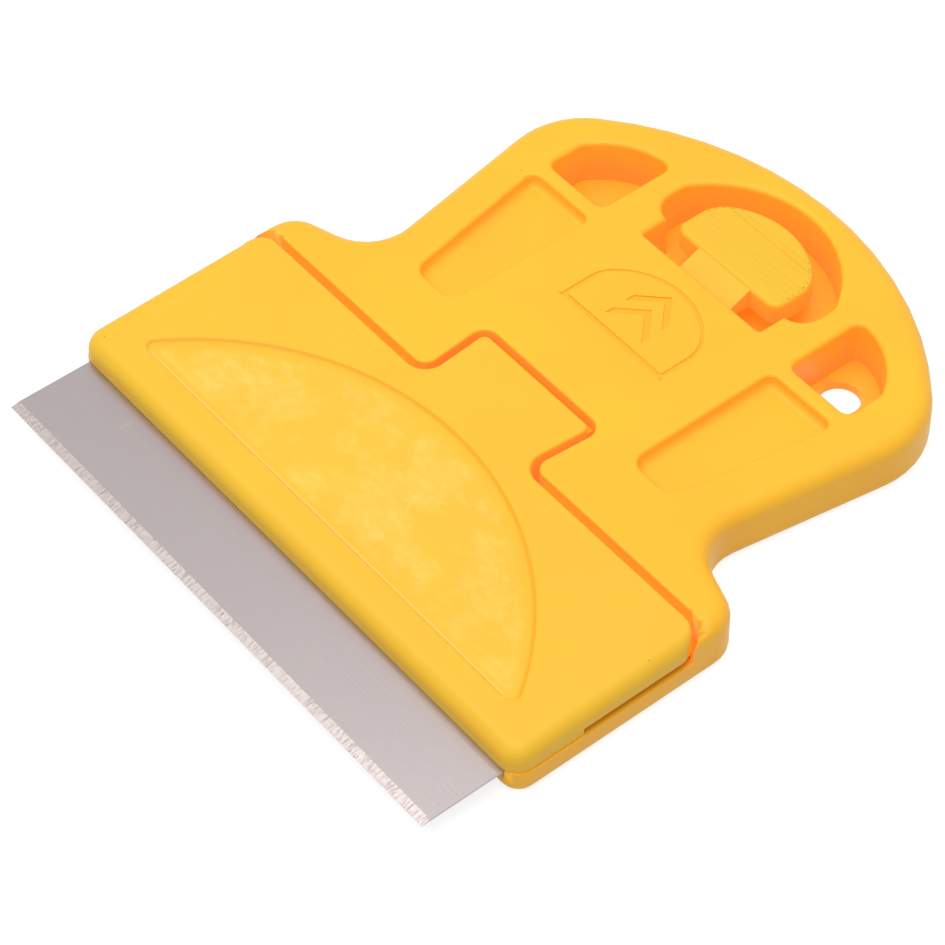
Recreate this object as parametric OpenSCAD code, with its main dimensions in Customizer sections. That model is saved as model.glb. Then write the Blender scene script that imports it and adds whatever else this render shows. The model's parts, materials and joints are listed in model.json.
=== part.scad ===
// Palm scraper with a wide flat blade held by a rocking clamp.
// Pressing the button at the rear tips the clamp on its hinge pin and opens the front jaws.
// Built with y = 0 at the cutting edge, then moved so that the origin is under the middle.

/* [Blade] */
// Width of the blade along its cutting edge
blade_w = 100; // [90:1:110]
// Depth of the blade from cutting edge to back
blade_depth = 25; // [22:0.5:28]
// Thickness of the blade
blade_t = 0.4; // [0.3:0.05:0.5]
// Length of blade that stands out in front of the jaws
blade_reach = 14.4; // [10:0.2:16]
// Width of the ground bevel behind the cutting edge
bevel_w = 1.5; // [1:0.1:3]
// Thickness left at the cutting edge
edge_t = 0.06; // [0.03:0.01:0.1]
// Distance between the two locating holes
blade_hole_pitch = 60; // [50:1:70]
// Radius of the locating studs that pass through the blade
stud_r = 1.8; // [1.5:0.1:2.2]

/* [Handle] */
// Length from the cutting edge to the rear of the handle
overall_len = 121.5; // [118:0.5:130]
// Height of the handle
handle_h = 9.7; // [9.4:0.1:11]
// Width of the lower jaw's cheek beside each end of the blade
jaw_cheek = 2.6; // [2:0.1:5]
// Height of the lower jaw beside the blade
jaw_h = 4.5; // [4.3:0.1:4.8]
// Width at the waist
waist_w = 77.2; // [74:0.2:82]
// Distance of the waist from the shoulders' outer corners
waist_set = 9.6; // [8:0.1:11]
// Angle at which the sides spread towards the rear
taper_angle = 10; // [8:0.1:12]
// Angle at which the shoulders fall away outwards
shoulder_angle = 18; // [15:0.1:24]
// Length of full-height shoulder behind the clamp at the sides
shoulder_len = 5.2; // [4.8:0.05:7]
// Radius of the rear edge
rear_r = 58.5; // [56:0.5:66]
// Radius of the rear corners
rear_corner_r = 14.5; // [12:0.5:16]
// Radius of the neck behind each shoulder
neck_r = 8; // [4:0.5:9]
// Radius of each shoulder's corner
shoulder_r = 5.5; // [3.2:0.1:6]
// Radius of the lower jaw's front corners
jaw_corner_r = 3.2; // [3:0.1:4]
// Rounding of the handle's upper edge
upper_edge_r = 2.7; // [2:0.1:2.9]
// Rounding of the handle's lower edge
lower_edge_r = 1.8; // [1:0.1:2.2]

/* [Clamp] */
// Length of the clamp from its front edge to its rear edge
clamp_len = 34.6; // [32:0.2:37]
// Amount by which the clamp stays inside the jaw at each side
clamp_side_set = 0.25; // [0.1:0.05:0.6]
// Fall of the clamp's top from rear to front
clamp_fall = 1; // [0.6:0.1:1.6]
// Radius of the clamp's front corners, seen from above
clamp_front_r = 3.3; // [3:0.1:4.5]
// Radius of the clamp's rear corners, seen from above
clamp_rear_r = 4; // [3:0.1:6]
// Rounding of the clamp's front edge
front_edge_r = 2.7; // [2:0.1:2.8]
// Rounding of the clamp's side edges
side_edge_r = 2.4; // [1.5:0.1:3]
// Rounding of the edges along the groove
groove_edge_r = 0.5; // [0.2:0.1:0.8]
// Width of the groove between the clamp and the handle
groove_w = 1.25; // [1.1:0.05:1.5]
// Gap between the clamp's rear corners and the handle beside them
corner_gap = 0.45; // [0.35:0.05:0.6]
// Length of the clamp's foot that presses on the blade
grip_len = 12.6; // [12.2:0.2:14]
// Height of the gap behind the foot, between clamp and lower jaw
relief_h = 1.3; // [0.8:0.1:1.5]
// Length of the clamp that closes down again behind the gap
rear_lip_len = 1.6; // [1.2:0.1:2]
// Length of the tab that reaches back into the handle
tab_len = 12.8; // [11:0.1:14]
// Width of the tab at its rear
tab_w = 25; // [22:0.2:28]
// Amount by which the tab narrows at its foot
tab_neck = 1; // [0:0.1:2]
// Radius at the foot of the tab
tab_foot_r = 3.4; // [2.5:0.1:4.5]
// Radius of the tab's rear corners
tab_corner_r = 1.3; // [0.6:0.1:2.5]

/* [Clamp scoop] */
// Distance of the scoop's tips from the clamp's sides
scoop_side_set = 6.9; // [5:0.1:9]
// Distance of the scoop's straight edge from the clamp's front edge
scoop_front_set = 6; // [5:0.1:8]
// Distance of the scoop's curved edge from the clamp's rear edge
scoop_rear_set = 3.2; // [3:0.1:6]
// Depth of the scoop
scoop_depth = 0.5; // [0.3:0.05:0.8]

/* [Button] */
// Width of the button pad
pad_w = 23.4; // [20:0.2:24]
// Length of the button pad
pad_len = 13.4; // [12:0.1:14]
// Radius of the pad's rear edge
pad_rear_r = 15; // [13:0.5:18]
// Radius of the pad's corners
pad_corner_r = 2; // [1:0.1:3]
// Amount by which the pad lies below the top of the handle
pad_drop = 0.3; // [0.2:0.1:0.6]
// Radius where the pad's sides turn into its rear edge
pad_side_r = 6; // [4:0.5:8]
// Rounding of the pad's upper edge
pad_edge_r = 0.8; // [0.4:0.1:1]
// Thickness of the pad above its spring
pad_crown_t = 1.25; // [1:0.05:1.6]
// Number of grip grooves across the pad
grip_count = 8; // [5:1:9]
// Distance between the grip grooves
grip_pitch = 1.1; // [0.9:0.05:1.15]
// Depth of each grip groove
grip_depth = 0.12; // [0.08:0.02:0.3]
// Width of the neck that joins the pad to the lever
neck_w = 11.8; // [9:0.2:14]
// Opening angle of the clamp with the button pressed
open_angle = 4.2; // [3:0.1:4.4]

/* [Button window] */
// Gap between the pad and the rear of its window
window_gap = 4.2; // [3.5:0.1:5]
// Gap between the pad's sides and the widest part of the window
window_side_gap = 5.6; // [5:0.1:6]
// Width of the window at its front
window_front_w = 27.2; // [25:0.2:28]
// Length of the window in front of the pad
window_front_len = 5; // [4.8:0.1:6]
// Length of the window's narrow front part
window_front_part = 5.1; // [4.5:0.1:6]
// Radius of the window's rear edge
window_rear_r = 19.5; // [19:0.5:22]
// Radius of the window's side corners
window_side_r = 4; // [3:0.5:6]
// Width of the rim behind the window
rear_rim = 4.7; // [4.5:0.1:8]

/* [Pockets] */
// Width of each corner pocket
pocket_w = 12.9; // [12:0.1:14]
// Length of each corner pocket
pocket_len = 14.6; // [14:0.1:16]
// Radius of the pockets' corners
pocket_corner_r = 1.6; // [1:0.1:2.5]
// Distance of the pockets' front in front of the window
pocket_front_set = 1.4; // [1:0.1:2.5]
// Distance of the pockets from the middle of the handle
pocket_set = 21.9; // [21.4:0.1:23]
// Distance of the hanging hole's middle from the pocket's inner side
hang_side_set = 4.6; // [4.2:0.1:5]
// Distance of the hanging hole's middle from the pocket's front
hang_front_set = 6.8; // [5:0.1:7.5]
// Radius of the hanging hole in the right pocket's floor
hang_r = 3.4; // [2.5:0.1:4]

/* [Finger recesses] */
// Depth of the finger recesses
recess_depth = 2.3; // [1.5:0.1:2.6]
// Width of each recess at its front
recess_front_w = 8.7; // [8:0.1:10]
// Width of each recess at its rear
recess_rear_w = 13.8; // [12:0.1:14]
// Distance of each recess's inner side from the pocket's inner side
recess_set = 0.7; // [0.4:0.1:1.2]
// Thickness of plastic under the recesses
recess_floor_t = 1.55; // [1.2:0.05:1.8]
// Radius of the recesses' corners
recess_corner_r = 2.4; // [1.8:0.1:3.5]
// Rounding where a recess's walls meet its floor
recess_floor_r = 1.3; // [0.8:0.1:1.5]
// Width of the ridge between a recess and its pocket
ridge_w = 2.9; // [2:0.1:3.5]
// Amount by which that ridge lies below the top
ridge_drop = 0.5; // [0.2:0.1:0.8]

/* [Mark] */
// Width of the arched frame that marks where to press
mark_w = 23.4; // [18:0.2:25]
// Height of the arched frame
mark_len = 14.6; // [13.4:0.1:15.5]
// Width of the frame's line and of the arrows' lines
mark_line = 0.8; // [0.5:0.05:1]
// Radius of the arch's rear edge
mark_rear_r = 13.5; // [12.6:0.1:18]
// Radius of the arch's shoulders
mark_side_r = 6; // [4:0.5:8]
// Width of the two arrow heads inside the arch
arrow_w = 8.4; // [6:0.2:10]
// Depth of the mark
mark_depth = 0.2; // [0.1:0.05:0.3]

/* [Inside] */
// Thickness of the handle's top
skin_t = 2; // [1.6:0.1:2.1]
// Thickness of the bottom cover
cover_t = 1.6; // [1.2:0.1:1.8]
// Width of the handle's rim around the bottom cover
cover_rim = 3.4; // [3:0.1:4.5]
// Clearance around the bottom cover
cover_gap = 0.1; // [0.05:0.01:0.2]
// Width of the chamber that holds the lever
chamber_w = 36.6; // [35:0.2:38]
// Distance of the hinge pin behind the clamp's groove
hinge_set = 3.5; // [3:0.1:5]
// Radius of the hinge pin
pin_r = 1; // [0.8:0.05:1.2]
// Running clearance between hinge pin and clamp
pin_gap = 0.05; // [0.02:0.01:0.08]
// Radius of the barrel round the hinge pin
barrel_r = 2.2; // [2:0.1:2.3]
// Thickness of the lever
lever_t = 1.8; // [1.4:0.1:2]
// Clearance between the lever and the handle's top
lever_gap = 0.45; // [0.4:0.05:0.7]
// Thickness of the wire of the button's spring
spring_wire = 0.6; // [0.4:0.05:0.7]
// Outer width of the button's spring
spring_w = 8; // [6:0.1:9]
// Number of turns of the button's spring
spring_turns = 4; // [3:1:4]

/* [Hidden] */

// Colours
body_yellow = [0.96, 0.73, 0.20];
clamp_yellow = [0.94, 0.77, 0.25];
blade_grey = [0.72, 0.70, 0.70];
pin_grey = [0.62, 0.63, 0.65];

// Finish of the curves
corner_steps = 7;
edge_steps = 5;
fine = 64;

// Overrun of every cut past the face that it opens
over = blade_t;
// Clearance between pieces that lie still against each other
seat_gap = pin_gap;

// Width across the jaws and shoulders
jaw_w = blade_w + 2 * jaw_cheek;
clamp_w = jaw_w - 2 * clamp_side_set;

// Places along the handle, from the cutting edge
jaw_front = blade_reach;
clamp_rear = jaw_front + clamp_len;
tab_rear = clamp_rear + tab_len;
shoulder_y = clamp_rear + groove_w + shoulder_len;
waist_y = shoulder_y + waist_set;
hinge_y = tab_rear + groove_w + hinge_set;
window_rear = overall_len - rear_rim;
pad_rear = window_rear - window_gap;
pad_front = pad_rear - pad_len;
window_front = pad_front - window_front_len;
pad_mid_y = (pad_front + pad_rear) / 2;
pocket_front = window_front - pocket_front_set;
recess_rear = pocket_front - ridge_w;
recess_front = waist_y - ridge_w;
mark_front = (recess_front + recess_rear) / 2;
chamber_front = clamp_rear + groove_w + 2 * lever_gap;

// Places of the arrow heads along the arch
arrow_shares = [0.18, 0.46];
// Radius of a recess's rear corners, and of its floor's rounding there
rear_corner_share = 0.65;
floor_round_share = 0.85;

// Heights
blade_floor = jaw_h - blade_t;
clamp_floor = jaw_h + seat_gap;
relief_top = jaw_h + relief_h;
skin_floor = handle_h - skin_t;
pad_top = handle_h - pad_drop;
lever_top = skin_floor - lever_gap;
lever_floor = lever_top - lever_t;
hinge_z = (cover_t + skin_floor) / 2;
tab_floor = hinge_z - barrel_r / 2;
pad_ceiling = pad_top - pad_crown_t;
rib_floor = lever_floor - lever_t / 2;
// The pad stays clear of the cover when the clamp is fully open
pad_floor = cover_t + (pad_rear - hinge_y) * sin(open_angle) + lever_gap;

// Widths
barrel_len = chamber_w - 2 * lever_gap;
pin_len = chamber_w + 4 * pin_r;
recess_inner = pocket_set - recess_set;
post_w = 2 * pin_r - 4 * seat_gap;
post_len = pin_len / 2 - chamber_w / 2 - 2 * seat_gap;
clamp_tilt = atan(clamp_fall / clamp_len);

function unit(v) = v / norm(v);
function short_turn(a) = a - 360 * round(a / 360);
function middle(a, b) = (a + b) / 2;

// Arc of n steps about c
function arc(c, r, a0, a1, n) =
    [for (i = [0:n]) c + r * [cos(a0 + (a1 - a0) * i / n), sin(a0 + (a1 - a0) * i / n)]];

// Rounding of the corner at b on the way from a to c
function corner(a, b, c, r, n) =
    let (
        u = unit(a - b), v = unit(c - b), half = acos(u * v) / 2,
        m = b + unit(u + v) * r / sin(half),
        s = b + u * r / tan(half) - m, e = b + v * r / tan(half) - m,
        a0 = atan2(s.y, s.x)
    ) arc(m, r, a0, a0 + short_turn(atan2(e.y, e.x) - a0), n);

// Closed outline with each corner rounded by its own radius
function rounded(points, radii, n) =
    let (count = len(points))
    [for (i = [0:count - 1]) each radii[i] > 0
        ? corner(points[(i + count - 1) % count], points[i], points[(i + 1) % count], radii[i], n)
        : [points[i]]];

// Right half of an outline and its mirror image, in one loop
function mirrored(half, shared) =
    concat(half, [for (i = [len(half) - 1 - shared:-1:0]) [-half[i].x, half[i].y]]);

// Outward normals of a loop, stretched so that straight sides stay parallel
function outward(points) =
    let (count = len(points), edge = [for (i = [0:count - 1]) unit(points[(i + 1) % count] - points[i])])
    [for (i = [0:count - 1])
        let (e = edge[(i + count - 1) % count], f = edge[i], m = [e.y + f.y, -e.x - f.x])
        m / (1 + e * f)];

// Loop moved inwards by one distance for each point
function inset(points, dists) =
    let (n = outward(points)) [for (i = [0:len(points) - 1]) points[i] - dists[i] * n[i]];
function same(points, value) = [for (p = points) value];

// Outline with a straight front and a wide arc at the rear
function domed(half_w, front, rear, front_r, side_r, wide_r) =
    let (
        mid = [0, rear - wide_r],
        side = [half_w - side_r, mid.y + sqrt((wide_r - side_r) ^ 2 - (half_w - side_r) ^ 2)],
        turn = atan2(side.y - mid.y, side.x)
    ) mirrored(concat(
        corner([0, front], [half_w, front], [half_w, rear], front_r, corner_steps),
        arc(side, side_r, 0, turn, corner_steps),
        [for (i = [1:corner_steps]) arc(mid, wide_r, turn, 90, corner_steps)[i]]), 1);

// Rings of a rounded upper edge, with the flat top at plane[0] + plane[1] * y
function upper_rings(points, radii, plane) =
    [for (k = [0:edge_steps])
        let (a = 90 * k / edge_steps, ring = inset(points, radii * (1 - cos(a))))
        [for (i = [0:len(points) - 1])
            [ring[i].x, ring[i].y, plane[0] + plane[1] * ring[i].y - radii[i] * (1 - sin(a))]]];

// Rings of a rounded lower edge that rests on height z
function lower_rings(points, r, z) =
    [for (k = [0:edge_steps])
        let (a = 90 * k / edge_steps, ring = inset(points, same(points, r * (1 - sin(a)))))
        [for (p = ring) [p.x, p.y, z + r * (1 - cos(a))]]];
function flat_ring(points, z) = [[for (p = points) [p.x, p.y, z]]];

// Solid through rings that all have the same number of points.
// The ends of a mirrored outline are closed by strips from each point to its mirror image.
module skin(rings, mirror_ends = false) {
    count = len(rings[0]);
    last = (len(rings) - 1) * count;
    pairs = [for (i = [0:ceil(count / 2) - 2]) i + 1 < count - 2 - i
        ? [i, i + 1, count - 2 - i, count - 1 - i] : [i, i + 1, count - 1 - i]];
    polyhedron(
        points = [for (ring = rings) each ring],
        faces = concat(
            mirror_ends
                ? concat(pairs, [for (f = pairs) [for (k = [len(f) - 1:-1:0]) last + f[k]]])
                : [[for (i = [0:count - 1]) i], [for (i = [count - 1:-1:0]) last + i]],
            [for (k = [0:count:last - count], i = [0:count - 1]) [k + i, k + i + count, k + (i + 1) % count + count]],
            [for (k = [0:count:last - count], i = [0:count - 1]) [k + i, k + (i + 1) % count + count, k + (i + 1) % count]]
        )
    );
}

// Outline of the handle with the lower jaw
jaw_corner = [jaw_w / 2, jaw_front];
shoulder = [jaw_w / 2, shoulder_y];
waist = [waist_w / 2, waist_y];
side_way = [sin(taper_angle), cos(taper_angle)];
shoulder_way = [-cos(shoulder_angle), sin(shoulder_angle)];
neck = waist + side_way * cross(shoulder - waist, shoulder_way) / cross(side_way, shoulder_way);
// The two fillets share the shoulder's slope, so neither takes more than half of it
half_slope = norm(neck - shoulder) / 2;
shoulder_fit_r = min(shoulder_r, half_slope * tan(45 + shoulder_angle / 2));
neck_fit_r = min(neck_r, half_slope * tan(45 + (shoulder_angle - taper_angle) / 2));
rear_mid = [0, overall_len - rear_r];
// The rear corner's centre lies as far from the side as its radius, on a circle about the rear edge's centre
corner_line = waist - rear_corner_r * [side_way.y, -side_way.x] - rear_mid;
corner_way = corner_line * side_way;
corner_run = -corner_way + sqrt(corner_way ^ 2 - corner_line * corner_line + (rear_r - rear_corner_r) ^ 2);
rear_corner = rear_mid + corner_line + side_way * corner_run;
rear_angle = atan2(rear_corner.y - rear_mid.y, rear_corner.x);
handle_outline = mirrored(concat(
    corner([0, jaw_front], jaw_corner, shoulder, jaw_corner_r, corner_steps),
    corner(jaw_corner, shoulder, neck, shoulder_fit_r, corner_steps),
    corner(shoulder, neck, neck + side_way, neck_fit_r, corner_steps),
    arc(rear_corner, rear_corner_r, -taper_angle, rear_angle, corner_steps),
    [for (i = [1:corner_steps]) arc(rear_mid, rear_r, rear_angle, 90, corner_steps)[i]]), 1);

// Outlines of the clamp's plate and of its tab
plate_outline = rounded(
    [[-clamp_w / 2, jaw_front], [clamp_w / 2, jaw_front], [clamp_w / 2, clamp_rear], [-clamp_w / 2, clamp_rear]],
    [clamp_front_r, clamp_front_r, clamp_rear_r, clamp_rear_r], corner_steps);
plate_edges = [for (p = plate_outline) lookup(p.y, [
    [jaw_front, front_edge_r], [jaw_front + clamp_front_r, side_edge_r],
    [clamp_rear - clamp_rear_r, side_edge_r], [clamp_rear, groove_edge_r]])];
plate_plane = [handle_h - clamp_fall * clamp_rear / clamp_len, clamp_fall / clamp_len];
tab_start = clamp_rear - 3 * groove_edge_r;
tab_foot = corner([tab_w, clamp_rear], [tab_w / 2 - tab_neck, clamp_rear], [tab_w / 2, tab_rear],
    tab_foot_r, corner_steps);
tab_outline = mirrored(concat(
    [[tab_foot[0].x, tab_start]], tab_foot,
    corner([tab_w / 2 - tab_neck, clamp_rear], [tab_w / 2, tab_rear], [0, tab_rear], tab_corner_r, corner_steps)
), 0);

// Outline of a finger recess and of the two hollows below it, on the right.
// Its rear corners are tighter than its front ones, and still wider than the rounding of its floor.
recess_rear_r = recess_corner_r * rear_corner_share;
recess_round = min(recess_floor_r, recess_rear_r * floor_round_share);
recess_outline = rounded(
    [[recess_inner, recess_front], [recess_inner + recess_front_w, recess_front],
     [recess_inner + recess_rear_w, recess_rear], [recess_inner, recess_rear]],
    [recess_corner_r, recess_corner_r, recess_rear_r, recess_rear_r], corner_steps);
core_mid = recess_inner + recess_front_w;
core_top = handle_h - recess_depth - recess_floor_t;

// Outlines of the button pad and of the wide part of its window
pad_outline = domed(pad_w / 2, pad_front, pad_rear, pad_corner_r, pad_side_r, pad_rear_r);
window_dome = domed(pad_w / 2 + window_side_gap, window_front + window_front_part, window_rear,
    window_side_r, window_side_r, window_rear_r);

// Round corners, outer and inner, of a flat shape
module softened(r) {
    offset(r = r, $fn = fine) offset(delta = -2 * r) offset(delta = r) children();
}

// Both sides alike
module both_sides() {
    children();
    mirror([1, 0, 0]) children();
}

// Moves the origin from the cutting edge to the middle of the scraper
module placed() {
    translate([0, -overall_len / 2, 0]) children();
}

// Bar across the hinge axis
module cross_bar(r, length) {
    translate([-length / 2, hinge_y, hinge_z]) rotate([0, 90, 0]) cylinder(r = r, h = length, $fn = fine);
}

// Flat shapes
module window_plan() {
    polygon(rounded(
        [[-window_front_w / 2, window_front], [window_front_w / 2, window_front],
         [window_front_w / 2, pad_mid_y], [-window_front_w / 2, pad_mid_y]],
        [groove_edge_r, groove_edge_r, 0, 0], corner_steps));
    polygon(window_dome);
}

module pocket_plan() {
    softened(pocket_corner_r) intersection() {
        translate([pocket_set, pocket_front]) square([pocket_w, pocket_len]);
        translate([pocket_set, pocket_front]) circle(r = pocket_len, $fn = 2 * fine);
    }
}

module scoop_plan() {
    straight = jaw_front + scoop_front_set;
    chord = clamp_w / 2 - scoop_side_set;
    rise = clamp_rear - scoop_rear_set - straight;
    scoop_r = (chord ^ 2 + rise ^ 2) / (2 * rise);
    softened(groove_edge_r * 3) difference() {
        translate([0, clamp_rear - scoop_rear_set - scoop_r]) circle(r = scoop_r, $fn = 3 * fine);
        translate([-scoop_r, straight - 2 * scoop_r]) square(2 * scoop_r);
    }
}

module arch_plan(shrink) {
    polygon(domed(mark_w / 2 - shrink, mark_front + shrink, mark_front + mark_len - shrink,
        mark_line / 2, mark_side_r, mark_rear_r));
}

module mark_plan() {
    difference() {
        arch_plan(0);
        arch_plan(mark_line);
    }
    // Two arrow heads that point to the button
    for (row_share = arrow_shares) {
        translate([0, mark_front + row_share * mark_len]) polygon([
            [-arrow_w / 2, 0], [0, arrow_w / 2], [arrow_w / 2, 0],
            [arrow_w / 2, 2 * mark_line], [0, arrow_w / 2 + 2 * mark_line], [-arrow_w / 2, 2 * mark_line]]);
    }
}

module cover_plan(gap) {
    intersection() {
        polygon(inset(handle_outline, same(handle_outline, cover_rim + gap)));
        translate([-jaw_w / 2, clamp_rear + 2 * groove_w + cover_rim + gap]) square([jaw_w, overall_len]);
    }
}

module chamber_plan() {
    translate([-chamber_w / 2, chamber_front]) square([chamber_w, window_front - chamber_front]);
}

// The handle's parts
module handle_block() {
    skin(concat(
        lower_rings(handle_outline, lower_edge_r, 0),
        upper_rings(handle_outline, same(handle_outline, upper_edge_r), [handle_h, 0])), mirror_ends = true);
}

module clamp_room() {
    translate([0, 0, jaw_h]) linear_extrude(handle_h) {
        offset(r = groove_w, $fn = fine) polygon(tab_outline);
        // Narrower beside the plate's corners than along its rear edge
        hull() for (back = [0, groove_w - corner_gap])
            translate([0, back]) offset(r = corner_gap, $fn = fine) polygon(plate_outline);
    }
}

module blade_seat() {
    translate([-blade_w / 2 - seat_gap, 0, blade_floor])
        cube([blade_w + 2 * seat_gap, blade_depth + seat_gap, handle_h]);
}

module lever_chamber() {
    translate([0, 0, cover_t]) linear_extrude(skin_floor - cover_t) chamber_plan();
}

module recess() {
    floor_z = handle_h - recess_depth;
    skin(concat(
        lower_rings(recess_outline, recess_round, floor_z),
        flat_ring(recess_outline, handle_h + over)));
    translate([pocket_set, recess_rear - over, handle_h - ridge_drop])
        cube([recess_rear_w - recess_set, ridge_w + 2 * over, handle_h]);
}

module pocket() {
    translate([0, 0, cover_t]) linear_extrude(handle_h) pocket_plan();
}

// Two hollows under each recess keep the walls even
module flank_hollows() {
    wall = recess_floor_t;
    near = chamber_w / 2 + 2 * skin_t;
    far_front = waist.x - cover_rim - wall;
    far_rear = far_front + (recess_rear - recess_front) * tan(taper_angle);
    translate([0, 0, cover_t]) linear_extrude(core_top - cover_t) {
        polygon([[near, recess_front], [core_mid - wall / 2, recess_front],
                 [core_mid - wall / 2, recess_rear], [near, recess_rear]]);
        polygon([[core_mid + wall / 2, recess_front], [far_front, recess_front],
                 [far_rear, recess_rear], [core_mid + wall / 2, recess_rear]]);
    }
}

module pin_seats() {
    cross_bar(pin_r + seat_gap / 2, pin_len + 2 * seat_gap);
    translate([-pin_len / 2 - seat_gap, hinge_y - pin_r - seat_gap / 2, 0])
        cube([pin_len + 2 * seat_gap, 2 * pin_r + seat_gap, hinge_z]);
}

module studs(r, low, high) {
    both_sides() translate([blade_hole_pitch / 2, middle(jaw_front, blade_depth), low])
        cylinder(r = r, h = high - low, $fn = fine);
}

module handle_body() {
    color(body_yellow) placed() {
        difference() {
            handle_block();
            clamp_room();
            blade_seat();
            lever_chamber();
            translate([0, 0, -over]) linear_extrude(cover_t + over) cover_plan(0);
            translate([0, 0, cover_t]) linear_extrude(handle_h) window_plan();
            both_sides() {
                recess();
                pocket();
                flank_hollows();
            }
            pin_seats();
            translate([0, 0, handle_h - mark_depth]) linear_extrude(over) mark_plan();
        }
        studs(stud_r, blade_floor - over, relief_top - 2 * seat_gap);
    }
}

module bottom_cover() {
    color(body_yellow) placed() {
        difference() {
            linear_extrude(cover_t - seat_gap) cover_plan(cover_gap);
            translate([pocket_set + hang_side_set, pocket_front + hang_front_set, -over])
                cylinder(r = hang_r, h = cover_t + 2 * over, $fn = fine);
        }
        // Posts that hold the hinge pin up in its seats
        both_sides() translate([chamber_w / 2 + seat_gap, hinge_y - post_w / 2, 0])
            cube([post_len, post_w, hinge_z - pin_r - seat_gap]);
        // Peg that centres the spring
        translate([0, pad_mid_y, 0]) cylinder(r = spring_w / 2 - 2 * spring_wire, h = 2 * cover_t, $fn = fine);
    }
}

// The clamp's parts
module clamp_plate() {
    difference() {
        skin(concat(flat_ring(plate_outline, clamp_floor), upper_rings(plate_outline, plate_edges, plate_plane)));
        // Scoop in the top, sunk square to the sloping face
        translate([0, clamp_rear, handle_h]) rotate([clamp_tilt, 0, 0])
            translate([0, -clamp_rear, -scoop_depth]) linear_extrude(handle_h) scoop_plan();
        // Gap behind the foot
        translate([-jaw_w / 2, jaw_front + grip_len, jaw_h - over])
            cube([jaw_w, clamp_len - grip_len - rear_lip_len, relief_h + over]);
        studs(stud_r + lever_gap, jaw_h - over, relief_top);
    }
}

module clamp_tab() {
    skin(concat(flat_ring(tab_outline, relief_top), upper_rings(tab_outline, same(tab_outline, groove_edge_r), [handle_h, 0])),
        mirror_ends = true);
    low_w = tab_w - 2 * tab_neck;
    low_front = chamber_front + 2 * lever_gap;
    translate([-low_w / 2, low_front, tab_floor])
        cube([low_w, tab_rear - low_front, lever_top - tab_floor]);
}

module lever() {
    root_w = tab_w - 2 * tab_neck;
    root_rear = hinge_y + 2 * barrel_r;
    translate([0, 0, lever_floor]) linear_extrude(lever_t) polygon([
        [-root_w / 2, tab_rear - groove_w], [root_w / 2, tab_rear - groove_w], [root_w / 2, root_rear],
        [neck_w / 2, root_rear + neck_w / 2], [neck_w / 2, pad_front + pad_corner_r],
        [-neck_w / 2, pad_front + pad_corner_r], [-neck_w / 2, root_rear + neck_w / 2],
        [-root_w / 2, root_rear]]);
    // Two ribs below the lever
    both_sides() translate([neck_w / 2 - lever_t, hinge_y, rib_floor])
        cube([lever_t, middle(hinge_y, pad_front) - hinge_y, lever_t]);
    // Neck that climbs from the lever to the pad
    translate([-neck_w / 2, 0, 0]) rotate([90, 0, 90]) linear_extrude(neck_w) polygon([
        [window_front, lever_floor], [pad_front + pad_corner_r, lever_floor],
        [pad_front + pad_corner_r, pad_top - pad_edge_r / 4], [pad_front, pad_top - pad_edge_r / 2],
        [window_front + pad_edge_r, lever_top], [window_front, lever_top]]);
}

module button_pad() {
    difference() {
        skin(concat(
            flat_ring(pad_outline, pad_floor),
            upper_rings(pad_outline, same(pad_outline, pad_edge_r), [pad_top, 0])));
        for (k = [0:grip_count - 1]) {
            translate([-pad_w / 2, pad_mid_y + (k - grip_count / 2) * grip_pitch, pad_top - grip_depth])
                cube([pad_w, grip_pitch / 2, handle_h]);
        }
    }
}

module blade_clamp() {
    color(clamp_yellow) placed() difference() {
        union() {
            clamp_plate();
            clamp_tab();
            lever();
            cross_bar(barrel_r, barrel_len);
            button_pad();
        }
        cross_bar(pin_r + pin_gap, chamber_w);
        // Room for the spring under the pad
        translate([0, pad_mid_y, 0]) cylinder(r = spring_w / 2 + spring_wire, h = pad_ceiling, $fn = fine);
    }
}

// A flat strip with one ground bevel and two locating holes
module blade() {
    color(blade_grey) placed() difference() {
        translate([-blade_w / 2, 0, blade_floor]) rotate([90, 0, 90]) linear_extrude(blade_w) polygon([
            [0, 0], [blade_depth, 0], [blade_depth, blade_t], [bevel_w, blade_t], [0, edge_t]]);
        studs(stud_r + 2 * seat_gap, blade_floor - over, jaw_h + over);
    }
}

module hinge_pin() {
    color(pin_grey) placed() cross_bar(pin_r, pin_len);
}

// One unbroken helix from the cover to the pad
module button_spring() {
    wire_r = spring_wire / 2;
    coil_r = spring_w / 2 - wire_r;
    low = cover_t + wire_r;
    rise = pad_ceiling - seat_gap - wire_r - low;
    ring_steps = 16;
    sides = 8;
    echo("least gap between turns", rise / spring_turns - spring_wire);
    color(pin_grey) placed() translate([0, pad_mid_y, low]) skin(
        [for (k = [0:spring_turns * ring_steps])
            let (a = 360 * k / ring_steps, z = rise * k / (spring_turns * ring_steps))
            [for (i = [0:sides - 1])
                let (b = 360 * i / sides, r = coil_r + wire_r * cos(b))
                [r * cos(a), r * sin(a), z + wire_r * sin(b)]]]);
}

handle_body();
bottom_cover();
blade_clamp();
blade();
hinge_pin();
button_spring();
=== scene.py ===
"""Palm scraper with a wide blade under a rocking clamp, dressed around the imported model."""
import json
import math

import bpy
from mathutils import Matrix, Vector
from mathutils.bvhtree import BVHTree

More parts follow.
